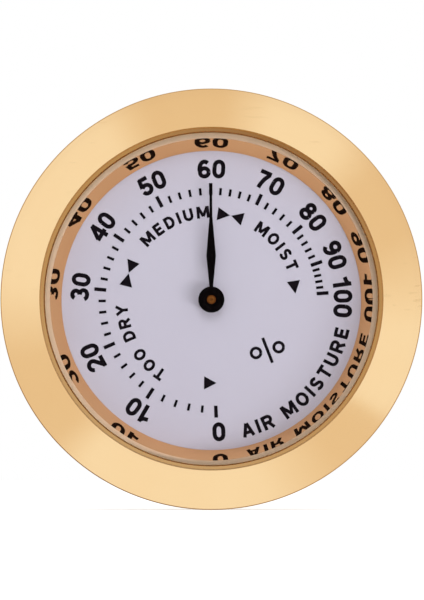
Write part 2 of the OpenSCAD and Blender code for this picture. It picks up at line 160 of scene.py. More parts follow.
@dataclass(frozen=True)
class Finish:
    """What every finish starts from: a named material with a principled shader."""

    name: str
    colour: str
    second_colour: str
    roughness: Span

    def start(self) -> tuple[Material, Tree, Node, Socket]:
        """Makes the empty material.

        Returns:
            The material, its tree, its shader and the piece's own coordinates.
        """
        material = bpy.data.materials.new(self.name)
        material.use_nodes = True
        material.diffuse_color = linear(self.colour)
        tree = material.node_tree
        shader = tree.nodes["Principled BSDF"]
        coords = add_node(tree, "ShaderNodeTexCoord").outputs["Object"]
        return material, tree, shader, coords

    def blend_colours(self, tree: Tree, amount: Socket) -> Socket:
        """Blends the two colours by a pattern.

        Args:
            tree: The material's tree.
            amount: The pattern, from 0 for the first colour to 1 for the second.

        Returns:
            The blended colour.
        """
        mix = add_node(tree, "ShaderNodeMixRGB", {
            "Fac": amount, "Color1": linear(self.colour), "Color2": linear(self.second_colour)})
        return mix.outputs["Color"]

    def spread_roughness(self, tree: Tree, pattern: Socket) -> Socket:
        """Spreads the roughness between its two limits by a pattern.

        Args:
            tree: The material's tree.
            pattern: The pattern, a noise.

        Returns:
            The roughness.
        """
        spread = add_node(tree, "ShaderNodeMapRange", {
            "Value": pattern, "From Min": NOISE_SPAN[0], "From Max": NOISE_SPAN[1],
            "To Min": self.roughness[0], "To Max": self.roughness[1]})
        return spread.outputs["Result"]

    def surface(self, tree: Tree, shader: Node, clouds: Socket, rough: Socket, height: Socket,
                depth: float) -> None:
        """Gives the shader its colour, its roughness and its relief.

        Args:
            tree: The material's tree.
            shader: The material's shader.
            clouds: Slow changes of tone, from 0 for one colour to 1 for the other.
            rough: The roughness.
            height: The relief, from 0 to 1.
            depth: How deep the relief is.
        """
        bump = add_node(tree, "ShaderNodeBump", {
            "Height": height, "Strength": BUMP_STRENGTH, "Distance": depth * MM})
        tree.links.new(self.blend_colours(tree, clouds), shader.inputs["Base Color"])
        tree.links.new(rough, shader.inputs["Roughness"])
        tree.links.new(bump.outputs["Normal"], shader.inputs["Normal"])


@dataclass(frozen=True)
class Scratches:
    """Thin slanting scratches that come in patches."""

    strength: float
    slant: float = 38.0
    squeeze: float = 0.05
    line_w: float = 0.35
    line_span: Span = (0.66, 0.72)
    patch_w: float = 7.0
    patch_span: Span = (0.5, 0.62)

    def lines(self, tree: Tree, coords: Socket) -> Socket:
        """Makes the scratches.

        Args:
            tree: The material's tree.
            coords: The piece's own coordinates.

        Returns:
            The scratches, from 0 for none to their full strength.
        """
        slant = add_node(tree, "ShaderNodeMapping", {
            "Vector": coords, "Rotation": (0.0, math.radians(self.slant), 0.0),
            "Scale": (self.squeeze, 1, 1)})
        lines = add_node(tree, "ShaderNodeTexNoise", {
            "Vector": slant.outputs["Vector"], "Scale": per_mm(self.line_w), "Detail": 1.0})
        patches = add_node(tree, "ShaderNodeTexNoise", {
            "Vector": coords, "Scale": per_mm(self.patch_w), "Detail": 1.0})
        thin = add_node(tree, "ShaderNodeMapRange", {
            "Value": lines.outputs["Fac"], "From Min": self.line_span[0],
            "From Max": self.line_span[1], "To Max": self.strength})
        some = add_node(tree, "ShaderNodeMapRange", {
            "Value": patches.outputs["Fac"], "From Min": self.patch_span[0],
            "From Max": self.patch_span[1]})
        both = add_node(tree, "ShaderNodeMath", {
            0: thin.outputs["Result"], 1: some.outputs["Result"]}, operation="MULTIPLY")
        return both.outputs["Value"]


@dataclass(frozen=True)
class Metal(Finish):
    """A metal with tool marks that run one way, slow changes of tone, and maybe some scratches."""

    lay: Lay
    mark_w: float
    mark_depth: float
    cloud_w: float
    scratches: Scratches | None = None
    squeeze: float = 0.02

    def marks(self, tree: Tree, coords: Socket) -> Socket:
        """Makes the tool marks.

        Args:
            tree: The material's tree.
            coords: The piece's own coordinates.

        Returns:
            The height of the marks, from 0 to 1.
        """
        if self.lay is Lay.AROUND:
            flat = add_node(tree, "ShaderNodeVectorMath", {
                0: coords, 1: (1, 0, 1)}, operation="MULTIPLY")
            radius = add_node(tree, "ShaderNodeVectorMath", {
                0: flat.outputs[0]}, operation="LENGTH")
            axis = add_node(tree, "ShaderNodeSeparateXYZ", {"Vector": coords})
            spread = add_node(tree, "ShaderNodeCombineXYZ", {
                "X": radius.outputs["Value"], "Y": axis.outputs["Y"]})
        else:
            scale = (1, self.squeeze, 1) if self.lay is Lay.ALONG else (self.squeeze, 1, 1)
            spread = add_node(tree, "ShaderNodeMapping", {"Vector": coords, "Scale": scale})
        noise = add_node(tree, "ShaderNodeTexNoise", {
            "Vector": spread.outputs["Vector"], "Scale": per_mm(self.mark_w), "Detail": 3.0,
            "Roughness": 0.6})
        return noise.outputs["Fac"]

    def material(self) -> Material:
        """Builds the finish.

        Returns:
            The material.
        """
        material, tree, shader, coords = self.start()
        marks = self.marks(tree, coords)
        clouds = add_node(tree, "ShaderNodeTexNoise", {
            "Vector": coords, "Scale": per_mm(self.cloud_w), "Detail": 3.0}).outputs["Fac"]
        rough = self.spread_roughness(tree, marks)
        height = marks
        if self.scratches:
            lines = self.scratches.lines(tree, coords)
            rough = add_node(tree, "ShaderNodeMath", {
                0: rough, 1: lines}, operation="ADD").outputs["Value"]
            height = add_node(tree, "ShaderNodeMath", {
                0: marks, 1: lines}, operation="SUBTRACT").outputs["Value"]
        shader.inputs["Metallic"].default_value = 1.0
        self.surface(tree, shader, clouds, rough, height, self.mark_depth)
        return material


@dataclass(frozen=True)
class Coating(Finish):
    """A paint, ink, plastic or rubber with a grain of its own and slow changes of tone."""

    grain_w: float
    grain_depth: float
    cloud_w: float
    specular: float = 0.5

    def material(self) -> Material:
        """Builds the finish.

        Returns:
            The material.
        """
        material, tree, shader, coords = self.start()
        grain = add_node(tree, "ShaderNodeTexNoise", {
            "Vector": coords, "Scale": per_mm(self.grain_w), "Detail": 4.0}).outputs["Fac"]
        clouds = add_node(tree, "ShaderNodeTexNoise", {
            "Vector": coords, "Scale": per_mm(self.cloud_w), "Detail": 2.0}).outputs["Fac"]
        shader.inputs["Specular IOR Level"].default_value = self.specular
        rough = self.spread_roughness(tree, grain)
        self.surface(tree, shader, clouds, rough, grain, self.grain_depth)
        return material


@dataclass(frozen=True)
class Glass(Finish):
    """Clear float glass that lets the lamps through to the dial."""

    ior: float = 1.52
    wipe_w: float = 5.0

    def material(self) -> Material:
        """Builds the finish.

        Returns:
            The material.
        """
        material, tree, shader, coords = self.start()
        wipes = add_node(tree, "ShaderNodeTexNoise", {
            "Vector": coords, "Scale": per_mm(self.wipe_w), "Detail": 2.0}).outputs["Fac"]
        shader.inputs["Base Color"].default_value = linear(self.colour)
        shader.inputs["Transmission Weight"].default_value = 1.0
        shader.inputs["IOR"].default_value = self.ior
        tree.links.new(self.spread_roughness(tree, wipes), shader.inputs["Roughness"])
        path = add_node(tree, "ShaderNodeLightPath")
        straight = add_node(tree, "ShaderNodeMath", {
            0: path.outputs["Is Shadow Ray"], 1: path.outputs["Is Diffuse Ray"]},
            operation="MAXIMUM")
        clear = add_node(tree, "ShaderNodeBsdfTransparent", {"Color": linear(self.second_colour)})
        mix = add_node(tree, "ShaderNodeMixShader", {
            0: straight.outputs["Value"], 1: shader.outputs["BSDF"], 2: clear.outputs["BSDF"]})
        tree.links.new(mix.outputs["Shader"], tree.nodes["Material Output"].inputs["Surface"])
        return material


# Gold plate on spun brass, buffed: a warm mirror with hair-fine lines round it and light scratches
POLISHED_GOLD = Metal(
    "gold_plate_buffed", "#FADAA8", "#F8D5A1", (0.06, 0.13), Lay.AROUND,
    mark_w=0.12, mark_depth=0.0006, cloud_w=6.0, scratches=Scratches(0.12))
# Gold lacquer on a drawn brass cup: softer than the bezel, streaked the way the cup was drawn
CASE_GOLD = Metal(
    "gold_lacquer_drawn", "#E9C27E", "#DFB56F", (0.18, 0.32), Lay.ALONG,
    mark_w=0.10, mark_depth=0.0012, cloud_w=4.0, scratches=Scratches(0.10))
# Gold film on a pressed aluminium ring: the brightest mirror, so it shows the numbers upside down
MIRROR_GOLD = Metal(
    "gold_film_mirror", "#FFC582", "#FBBE7A", (0.03, 0.07), Lay.AROUND,
    mark_w=0.20, mark_depth=0.0003, cloud_w=5.0)
# Turned bronze: brown copper tone with rings from the tool
TURNED_BRONZE = Metal(
    "bronze_turned", "#8F5A2B", "#774922", (0.22, 0.36), Lay.AROUND,
    mark_w=0.08, mark_depth=0.0010, cloud_w=1.2)
# Turned brass: yellow, bright, with rings from the tool
TURNED_BRASS = Metal(
    "brass_turned", "#D8B56A", "#CBA557", (0.20, 0.34), Lay.AROUND,
    mark_w=0.10, mark_depth=0.0012, cloud_w=2.0)
# Rolled brass sheet, stamped: a straight fine grain, a little duller from handling
STAMPED_BRASS = Metal(
    "brass_sheet_rolled", "#CFAE66", "#BE9A52", (0.26, 0.40), Lay.ACROSS,
    mark_w=0.08, mark_depth=0.0015, cloud_w=2.5)
# Bright rolled steel: cool grey, with a clean fine grain
BRIGHT_STEEL = Metal(
    "steel_bright_zinc", "#C9CBCD", "#B7BABD", (0.20, 0.34), Lay.ACROSS,
    mark_w=0.10, mark_depth=0.0010, cloud_w=1.5)
# Bronze strip with a dull brown moisture-taking film on it, which clouds its shine
COIL_STRIP = Metal(
    "bronze_strip_filmed", "#B58A58", "#946B40", (0.34, 0.50), Lay.ACROSS,
    mark_w=0.25, mark_depth=0.0020, cloud_w=1.5)
# Float glass: clear, with the faintest wipe marks
LENS_GLASS = Glass("float_glass", "#FFFFFF", "#F7F9F9", (0.0, 0.004))
# Soft ivory plastic, moulded: waxy, a little uneven
GASKET_IVORY = Coating(
    "soft_pvc_ivory", "#F6D0AF", "#ECC4A1", (0.40, 0.55),
    grain_w=0.15, grain_depth=0.004, cloud_w=2.5)
# Stoved white lacquer on sheet metal: cool white with a trace of orange peel
DIAL_WHITE = Coating(
    "lacquer_white_satin", "#D6CFDF", "#D3CBDC", (0.30, 0.42),
    grain_w=0.35, grain_depth=0.0015, cloud_w=9.0)
# Screen ink: near black, matt, with the grain of the mesh it went through
DIAL_INK = Coating(
    "screen_ink_black", "#100B12", "#181119", (0.42, 0.58),
    grain_w=0.10, grain_depth=0.003, cloud_w=0.8, specular=0.05)
# Black enamel on the stamped needle: deep and slightly glossy
POINTER_BLACK = Coating(
    "enamel_black", "#060304", "#0A0607", (0.26, 0.36),
    grain_w=0.30, grain_depth=0.002, cloud_w=1.5, specular=0.04)
# Moulded synthetic rubber: charcoal, dry, with a fine mould grain
BAND_RUBBER = Coating(
    "nitrile_rubber_moulded", "#2B2A2B", "#353334", (0.55, 0.72),
    grain_w=0.12, grain_depth=0.010, cloud_w=3.0)


# Modelling

WELD = 1e-7              # metres within which points of a turned piece are one
CAD_WELD = 1e-6          # metres within which points of a CAD mesh are one
FLAT_ANGLE = 0.3         # degrees up to which two faces of a CAD mesh are one flat face


def deselect() -> None:
    """Leaves nothing selected, because an operator acts on all that is."""
    bpy.ops.object.select_all(action="DESELECT")


def take(piece: Piece) -> None:
    """Selects one piece alone and makes it the active one."""
    deselect()
    piece.select_set(True)
    bpy.context.view_layer.objects.active = piece


def smooth(piece: Piece, degrees: float = 30.0) -> None:
    """Shades a piece smooth but for its sharp edges."""
    take(piece)
    bpy.ops.object.shade_smooth_by_angle(angle=math.radians(degrees))


def soften(piece: Piece, width: float, segments: int = 2, degrees: float = 25.0) -> None:
    """Rounds the sharp edges of a piece a little, as real edges are.

    Args:
        piece: The piece.
        width: How much of each face the rounding takes.
        segments: Steps in the rounding.
        degrees: The least angle of an edge that is rounded.
    """
    smooth(piece, degrees)
    edge = piece.modifiers.new("soft_edges", "BEVEL")
    edge.width = width * MM
    edge.segments = segments
    edge.limit_method = "ANGLE"
    edge.angle_limit = math.radians(degrees)
    edge.use_clamp_overlap = True
    edge.harden_normals = True
    bpy.ops.object.modifier_apply(modifier=edge.name)


def turned_piece(name: str, profile: list[Point], steps: int = 192) -> Piece:
    """Turns a closed outline about the dial's axis.

    Args:
        name: The piece's name.
        profile: Points of the outline, each a radius and a height in front of the seat.
        steps: Steps in the full turn.

    Returns:
        The turned piece.
    """
    deselect()
    bpy.ops.mesh.primitive_plane_add(size=MM)
    piece = bpy.context.object
    piece.name = piece.data.name = name
    bpy.ops.object.mode_set(mode="EDIT")
    bpy.ops.mesh.select_all(action="SELECT")
    bpy.ops.mesh.merge(type="CENTER")
    bpy.ops.transform.translate(value=(profile[0][0] * MM, -profile[0][1] * MM, 0.0))
    for (r0, h0), (r1, h1) in zip(profile, profile[1:] + profile[:1]):
        bpy.ops.mesh.extrude_vertices_move(
            TRANSFORM_OT_translate={"value": ((r1 - r0) * MM, -(h1 - h0) * MM, 0.0)})
    bpy.ops.mesh.select_all(action="SELECT")
    bpy.ops.mesh.remove_doubles(threshold=WELD)
    bpy.ops.mesh.spin(steps=steps, angle=math.tau, center=(0, 0, 0), axis=(0, 1, 0))
    bpy.ops.mesh.select_all(action="SELECT")
    bpy.ops.mesh.remove_doubles(threshold=WELD)
    bpy.ops.mesh.normals_make_consistent(inside=False)
    bpy.ops.object.mode_set(mode="OBJECT")
    return piece


def node_copy(node: str, name: str) -> Piece:
    """Copies a CAD node as a closed mesh without the edges that only cut its flat faces up.

    Args:
        node: The CAD node's name.
        name: The piece's name.

    Returns:
        The copy.
    """
    take(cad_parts[node])
    bpy.ops.object.duplicate()
    piece = bpy.context.object
    piece.name = piece.data.name = name
    bpy.ops.mesh.customdata_custom_splitnormals_clear()
    bpy.ops.object.mode_set(mode="EDIT")
    bpy.ops.mesh.select_all(action="SELECT")
    bpy.ops.mesh.remove_doubles(threshold=CAD_WELD)
    bpy.ops.mesh.dissolve_limited(angle_limit=math.radians(FLAT_ANGLE))
    bpy.ops.object.mode_set(mode="OBJECT")
    return piece


def dress(piece: Piece, material: Material) -> None:
    """Gives a piece one material on all its faces.

    Args:
        piece: The piece.
        material: The material.
    """
    if piece.material_slots:
        for holder in piece.material_slots:
            holder.material = material
    else:
        piece.data.materials.append(material)


def place(piece: Piece, body: Body, slot: str, *nodes: str) -> None:
    """Makes a finished piece move with a body and reports it.

    Args:
        piece: The piece.
        body: The body that it moves with.
        slot: The name of a material slot; not used.
        *nodes: The CAD nodes that it stands for.
    """
    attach(piece, body.value)
    if nodes:
        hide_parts(*nodes)
    LOG.info("%s on %s: %d faces", piece.name, body.value, len(piece.data.polygons))


def dress_nodes(material: Material, *nodes: str) -> None:
    """Gives CAD nodes that keep their shape a better material, and reports them.

    Args:
        material: The material.
        *nodes: The CAD nodes' names.
    """
    for name in nodes:
        dress(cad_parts[name], material)
        LOG.info("%s keeps its shape, in %s", name, material.name)


# Print

BOW_STEP = 15            # degrees between two points of a curved stroke
BOW_LEAST = 4            # fewest steps of a curved stroke


def bow(x: float, y: float, rx: float, ry: float, start: float, end: float) -> Stroke:
    """Gives points along part of an ellipse.

    Args:
        x: Centre, from the left.
        y: Centre, from the foot.
        rx: Half of its width.
        ry: Half of its height.
        start: First angle in degrees, from the right and turning left over the top.
        end: Last angle.

    Returns:
        The points.
    """
    steps = max(BOW_LEAST, round(abs(end - start) / BOW_STEP))
    turns = [math.radians(start + (end - start) * i / steps) for i in range(steps + 1)]
    return [(x + rx * math.cos(a), y + ry * math.sin(a)) for a in turns]


def on_dial(along: float, out: float, turn: float) -> Point:
    """Finds the dial's own coordinates of a point that is given round the dial.

    Args:
        along: How far it lies clockwise of the turn's ray.
        out: How far out it lies along that ray.
        turn: The ray's turn, in radians.

    Returns:
        The point, from the dial's centre to the right and up.
    """
    return (out * math.sin(turn) + along * math.cos(turn),
            out * math.cos(turn) - along * math.sin(turn))


# Pen strokes of plain upright signs of height 1, for a broad pen: each sign's width and strokes
SIGNS: dict[str, tuple[float, list[Stroke]]] = {
    "0": (0.66, [bow(0.33, 0.63, 0.225, 0.27, 180, 0) + bow(0.33, 0.37, 0.225, 0.27, 0, -180)
                 + [(0.105, 0.63)]]),
    "1": (0.60, [[(0.42, 0), (0.42, 1)], [(0.42, 0.87), (0.28, 0.75), (0.05, 0.69)]]),
    "2": (0.68, [bow(0.34, 0.66, 0.235, 0.24, 170, -38) + [(0.14, 0.13)],
                 [(0.03, 0.1), (0.64, 0.1)]]),
    "3": (0.68, [bow(0.33, 0.705, 0.195, 0.195, 160, -90),
                 bow(0.33, 0.3, 0.235, 0.2, 90, -165)]),
    "4": (0.70, [[(0.50, 0.97), (0.07, 0.32)], [(0.02, 0.3), (0.70, 0.3)],
                 [(0.50, 0), (0.50, 1)]]),
    "5": (0.68, [[(0.14, 0.9), (0.60, 0.9)], [(0.20, 0.97), (0.13, 0.46)],
                 bow(0.33, 0.33, 0.235, 0.23, 145, -165)]),
    "6": (0.68, [bow(0.345, 0.32, 0.225, 0.22, 0, 360), bow(0.37, 0.47, 0.265, 0.43, 50, 190)]),
    "7": (0.68, [[(0.04, 0.9), (0.64, 0.9)],
                 [(0.57, 0.86), (0.38, 0.55), (0.28, 0.25), (0.24, 0)]]),
    "8": (0.68, [bow(0.34, 0.71, 0.195, 0.19, 0, 360), bow(0.34, 0.3, 0.235, 0.2, 0, 360)]),
    "9": (0.68, [bow(0.335, 0.68, 0.225, 0.22, 0, 360), bow(0.31, 0.53, 0.265, 0.43, -130, 10)]),
    "A": (0.86, [[(0.09, 0), (0.41, 0.96)], [(0.77, 0), (0.45, 0.96)],
                 [(0.20, 0.3), (0.66, 0.3)]]),
    "D": (0.78, [[(0.1, 0), (0.1, 1)],
                 [(0.1, 0.9)] + bow(0.36, 0.5, 0.32, 0.4, 90, -90) + [(0.1, 0.1)]]),
    "E": (0.68, [[(0.1, 0), (0.1, 1)], [(0.1, 0.9), (0.66, 0.9)], [(0.1, 0.5), (0.60, 0.5)],
                 [(0.1, 0.1), (0.68, 0.1)]]),
    "I": (0.20, [[(0.1, 0), (0.1, 1)]]),
    "M": (1.02, [[(0.1, 0), (0.1, 1)], [(0.92, 0), (0.92, 1)], [(0.13, 0.97), (0.51, 0.16)],
                 [(0.89, 0.97), (0.51, 0.16)]]),
    "O": (0.86, [bow(0.43, 0.5, 0.33, 0.4, 0, 360)]),
    "R": (0.80, [[(0.1, 0), (0.1, 1)],
                 [(0.1, 0.9)] + bow(0.46, 0.685, 0.2, 0.215, 90, -90) + [(0.1, 0.47)],
                 [(0.42, 0.47), (0.70, 0)]]),
    "S": (0.74, [bow(0.36, 0.705, 0.235, 0.195, 25, 250)
                 + bow(0.37, 0.295, 0.26, 0.195, 75, -155)]),
    "T": (0.74, [[(0, 0.9), (0.74, 0.9)], [(0.37, 0), (0.37, 0.95)]]),
    "U": (0.78, [[(0.1, 1)] + bow(0.39, 0.38, 0.29, 0.28, 180, 360) + [(0.68, 1)]]),
    "Y": (0.80, [[(0.05, 1), (0.40, 0.46)], [(0.75, 1), (0.40, 0.46)], [(0.40, 0.5), (0.40, 0)]]),
    " ": (0.34, []),
}


@dataclass(frozen=True)
class Legend:
    """A line of signs round the dial, with the gap between two as a share of their height."""

    text: str
    radius: float
    turn: float
    gap: float


@dataclass(frozen=True)
class ArrowHead:
    """A printed arrowhead that reaches from its base's turn to its apex's turn."""

    base: float
    apex: float
    radius: float
    width: float = 1.42

    def corners(self) -> list[Point]:
        """Gives the apex and the two ends of the base.

        Returns:
            The corners in the dial's own coordinates.
        """
        middle = math.radians((self.base + self.apex) / 2)
        half = self.radius * math.radians(self.apex - self.base) / 2
        tips = [(half, 0.0), (-half, self.width / 2), (-half, -self.width / 2)]
        return [on_dial(along, self.radius + out, middle) for along, out in tips]


@dataclass
class Print:
    """One sheet of print on the dial: flat strokes of ink that stand just proud of the lacquer."""

    name: str
    face: float
    ink: float
    pen: float
    stretch: float = 1.0
    smooth_to: float = 40.0
    strokes: list[tuple[Stroke, float]] = field(default_factory=list)

    def line(self, legend: Legend, height: float, facing: Facing) -> None:
        """Sets a line of signs round the dial, each turned to follow it.

        Args:
            legend: The signs and where their middle lies.
            height: Height of the signs.
            facing: Which way the tops point.
        """
        widths = [SIGNS[sign][0] * self.stretch for sign in legend.text]
        along = -(sum(widths) + legend.gap * (len(widths) - 1)) / 2
        way = facing.value
        for sign, width in zip(legend.text, widths):
            middle = (math.radians(legend.turn)
                      + way * (along + width / 2) * height / legend.radius)
            for stroke in SIGNS[sign][1]:
                points = [on_dial(way * (x * self.stretch - width / 2) * height,
                                  legend.radius + way * (y - 0.5) * height, middle)
                          for x, y in stroke]
                self.strokes.append((points, self.pen * height))
            along += width + legend.gap

    def stroke(self, points: Stroke) -> None:
        """Adds one free stroke, in the dial's own coordinates."""
        self.strokes.append((points, self.pen))

    def draw(self) -> Piece:
        """Draws each stroke as a round rod, as thick as its pen is broad.

        Returns:
            The rods, as one mesh on the plane of the dial's axes.
        """
        curve = bpy.data.curves.new(self.name, "CURVE")
        curve.dimensions = "3D"
        curve.bevel_depth = MM / 2
        curve.bevel_resolution = 2
        curve.use_fill_caps = True
        for points, pen in self.strokes:
            spline = curve.splines.new("POLY")
            spline.points.add(len(points) - 1)
            for point, (x, y) in zip(spline.points, points):
                point.co = (x * MM, 0.0, y * MM, 1.0)
                point.radius = pen
        rods = bpy.data.objects.new(self.name, curve)
        bpy.context.collection.objects.link(rods)
        take(rods)
        bpy.ops.object.convert(target="MESH")
        return bpy.context.object

    def build(self) -> Piece:
        """Draws the strokes and presses them flat on the dial.

        Returns:
            The print.
        """
        piece = self.draw()
        thick = max(pen for _, pen in self.strokes)
        bpy.ops.object.mode_set(mode="EDIT")
        bpy.ops.mesh.select_all(action="SELECT")
        bpy.ops.transform.resize(
            value=(1.0, self.ink / thick, 1.0), center_override=(0.0, 0.0, 0.0))
        bpy.ops.transform.translate(value=(0.0, -self.face * MM, 0.0))
        bpy.ops.object.mode_set(mode="OBJECT")
        smooth(piece, self.smooth_to)
        return piece


# The assembly


@dataclass
class BezelRing:
    """The polished ring: a sloping face, a faceted window, a fine groove, a lip and a flat seat.

    The lip lies over the glass, and the groove is between the lip and the window's wall.
    """

    outer_r: float = 22.5
    bore_r: float = 19.2
    window_r: float = 17.7
    lip_w: float = 0.08
    lip_h: float = 0.25
    groove_w: float = 0.06
    groove_h: float = 0.03
    facet_r: float = 18.15
    facet_z: float = 2.93
    bevel_r: float = 18.3
    rim_z: float = 2.3
    wall_z: float = 2.77
    bevel_z: float = 3.1
    draft: float = 0.02
    slope: float = 12.0
    edge_r: float = 0.15
    chamfer: float = 0.25
    relief_r: float = 20.2
    relief_h: float = 0.5
    edge_steps: int = 6
    soft: float = 0.015
    soft_steps: int = 3
    soft_angle: float = 17.0

    def outer_edge(self) -> list[Point]:
        """Gives the rounding between the sloping face and the outside.

        Returns:
            Its points, from the face outwards.
        """
        tilt = math.radians(self.slope)
        edge_z = self.bevel_z - (self.outer_r - self.bevel_r) * math.tan(tilt)
        r = self.outer_r - self.edge_r
        z = edge_z - self.edge_r * math.tan(math.pi / 4 - tilt / 2)
        shares = [1 - i / self.edge_steps for i in range(self.edge_steps + 1)]
        turns = [(math.pi / 2 - tilt) * share for share in shares]
        return [(r + self.edge_r * math.cos(a), z + self.edge_r * math.sin(a)) for a in turns]

    def profile(self) -> list[Point]:
        """Gives the ring's outline.

        Returns:
            Its points, each a radius and a height in front of the seat.
        """
        lip_r, lip_z = self.window_r + self.lip_w, self.rim_z + self.lip_h
        wall_r, groove_z = lip_r + self.groove_w, self.rim_z + self.groove_h
        return [(self.bore_r, self.rim_z), (self.window_r, self.rim_z),
                (self.window_r + self.draft, lip_z), (lip_r, lip_z),
                (lip_r + self.draft, groove_z), (wall_r, groove_z),
                (wall_r + self.draft, self.wall_z), (self.facet_r, self.facet_z),
                (self.bevel_r, self.bevel_z), *self.outer_edge(),
                (self.outer_r, self.chamfer), (self.outer_r - self.chamfer, 0.0),
                (self.relief_r, 0.0), (self.relief_r, self.relief_h),
                (self.bore_r, self.relief_h)]

    def build(self) -> None:
        """Turns the ring, rounds its edges and dresses it."""
        ring = turned_piece("bezel_polished", self.profile())
        soften(ring, self.soft, self.soft_steps, self.soft_angle)
        dress(ring, POLISHED_GOLD.material())
        place(ring, Body.CASE, "polished_gold", "bezel")


@dataclass
class Glazing:
    """The flat glass, the soft ring under it and the mirrored cone round the dial."""

    def build(self) -> None:
        """Dresses the three rings."""
        dress_nodes(LENS_GLASS.material(), "lens")
        dress_nodes(GASKET_IVORY.material(), "lens_gasket")
        dress_nodes(MIRROR_GOLD.material(), "reflector_ring")


@dataclass
class DialFace:
    """The white dial and its print."""

    face: float = field(default_factory=lambda: -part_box("dial_plate")[0][1] / MM)
    ink: float = 0.03
    numeral_r: float = 14.17
    numeral_h: float = 2.0
    numeral_pen: float = 0.228
    numeral_gap: float = 0.1
    numeral_stretch: float = 1.04
    numeral_step: int = 10
    numeral_turns: tuple[float, ...] = (
        176.7, 213.1, 244.1, 275.7, 303.9, 333.2, 360.0, 26.6, 50.6, 69.9, 88.5)
    zone_h: float = 1.28
    zone_pen: float = 0.25
    zones: tuple[Legend, ...] = (
        Legend("TOO DRY", 9.66, 239.4, 0.33), Legend("MEDIUM", 9.52, 334.3, 0.36),
        Legend("MOIST", 9.41, 50.5, 0.33))
    rim_h: float = 1.5
    rim_pen: float = 0.24
    rim: Legend = Legend("AIR MOISTURE", 14.44, 134.5, 0.26)
    heads: tuple[ArrowHead, ...] = (
        ArrowHead(185.0, 176.4, 8.9), ArrowHead(279.4, 288.0, 9.31),
        ArrowHead(296.6, 288.4, 9.34), ArrowHead(4.1, 12.4, 9.33),
        ArrowHead(21.2, 13.2, 9.33), ArrowHead(76.8, 85.5, 9.05))
    percent_pen: float = 0.33
    percent_ring_r: float = 0.52
    percent_rings: tuple[Point, Point] = ((4.80, -5.67), (7.24, -5.05))
    percent_bar: tuple[Point, Point] = ((5.52, -4.05), (6.57, -6.73))
    ink_finish: Material = field(init=False)

    def numerals(self) -> None:
        """Prints a number at each ten."""
        sheet = Print("numerals", self.face, self.ink, self.numeral_pen, self.numeral_stretch)
        for i, turn in enumerate(self.numeral_turns):
            number = str(self.numeral_step * i)
            sheet.line(Legend(number, self.numeral_r, turn, self.numeral_gap), self.numeral_h,
                       Facing.OUTWARD)
        self.finish(sheet.build())

    def words(self) -> None:
        """Prints plain words for the three zones, and for what is measured."""
        zones = Print("zone_words", self.face, self.ink, self.zone_pen)
        for legend in self.zones:
            zones.line(legend, self.zone_h, Facing.OUTWARD)
        self.finish(zones.build())
        rim = Print("rim_words", self.face, self.ink, self.rim_pen)
        rim.line(self.rim, self.rim_h, Facing.INWARD)
        self.finish(rim.build())

    def arrow(self, head: ArrowHead) -> Piece:
        """Models one arrowhead as a flat three-sided plate on the dial.

        Args:
            head: Where it lies.

        Returns:
            The plate.
        """
        deselect()
        bpy.ops.mesh.primitive_circle_add(
            vertices=3, radius=MM, fill_type="NGON", rotation=(math.pi / 2, 0, 0))
        plate = bpy.context.object
        bpy.ops.object.transform_apply(location=True, rotation=True, scale=True)
        for vertex, (x, y) in zip(plate.data.vertices, head.corners()):
            vertex.co = (x * MM, -self.face * MM, y * MM)
        bpy.ops.object.mode_set(mode="EDIT")
        bpy.ops.mesh.select_all(action="SELECT")
        bpy.ops.mesh.extrude_region_move(
            TRANSFORM_OT_translate={"value": (0.0, -self.ink * MM, 0.0)})
        bpy.ops.mesh.select_all(action="SELECT")
        bpy.ops.mesh.normals_make_consistent(inside=False)
        bpy.ops.object.mode_set(mode="OBJECT")
        return plate

    def arrows(self) -> None:
        """Prints the arrowheads that end the zones."""
        plates = [self.arrow(head) for head in self.heads]
        take(plates[0])
        for plate in plates:
            plate.select_set(True)
        bpy.ops.object.join()
        sheet = bpy.context.object
        sheet.name = sheet.data.name = "zone_arrows"
        self.finish(sheet)

    def percent(self) -> None:
        """Prints the sign of the unit, leaning with the rim."""
        sheet = Print("percent_sign", self.face, self.ink, self.percent_pen)
        for x, y in self.percent_rings:
            sheet.stroke(bow(x, y, self.percent_ring_r, self.percent_ring_r, 0, FULL_TURN))
        sheet.stroke(list(self.percent_bar))
        self.finish(sheet.build())

    def finish(self, sheet: Piece) -> None:
        """Inks a sheet of print and sets it on the case's body."""
        dress(sheet, self.ink_finish)
        place(sheet, Body.CASE, "dial_ink")

    def build(self) -> None:
        """Dresses the dial and prints it."""
        self.ink_finish = DIAL_INK.material()
        dress_nodes(DIAL_WHITE.material(), "dial_plate")
        dress_nodes(self.ink_finish, "scale_marks")
        self.numerals()
        self.words()
        self.arrows()
        self.percent()


@dataclass
class Needle:
    """The stamped pointer and the spindle that carries it."""

    soft: float = 0.04

    def build(self) -> None:
        """Softens the pointer and dresses both."""
        needle = node_copy("pointer", "pointer_enamelled")
        soften(needle, self.soft)
        dress(needle, POINTER_BLACK.material())
        place(needle, Body.POINTER, "pointer_black", "pointer")
        dress_nodes(TURNED_BRONZE.material(), "spindle")


@dataclass
class Movement:
    """The bushes, the bridge on its pillars, the coil and the adjuster."""

    soft: float = 0.04

    def build(self) -> None:
        """Softens the stud that shows at the back and dresses the rest."""
        brass = TURNED_BRASS.material()
        dress_nodes(brass, "pointer_bush", "front_bush", "rear_bush", "collet", "coil_rivet",
                    "pillars")
        dress_nodes(STAMPED_BRASS.material(), "bridge", "anchor_arm")
        dress_nodes(BRIGHT_STEEL.material(), "bridge_screws", "spring_washer")
        dress_nodes(COIL_STRIP.material(), "humidity_coil")
        stud = node_copy("adjuster_stud", "adjuster_stud_turned")
        soften(stud, self.soft)
        dress(stud, brass)
        place(stud, Body.ADJUSTER, "brass", "adjuster_stud")


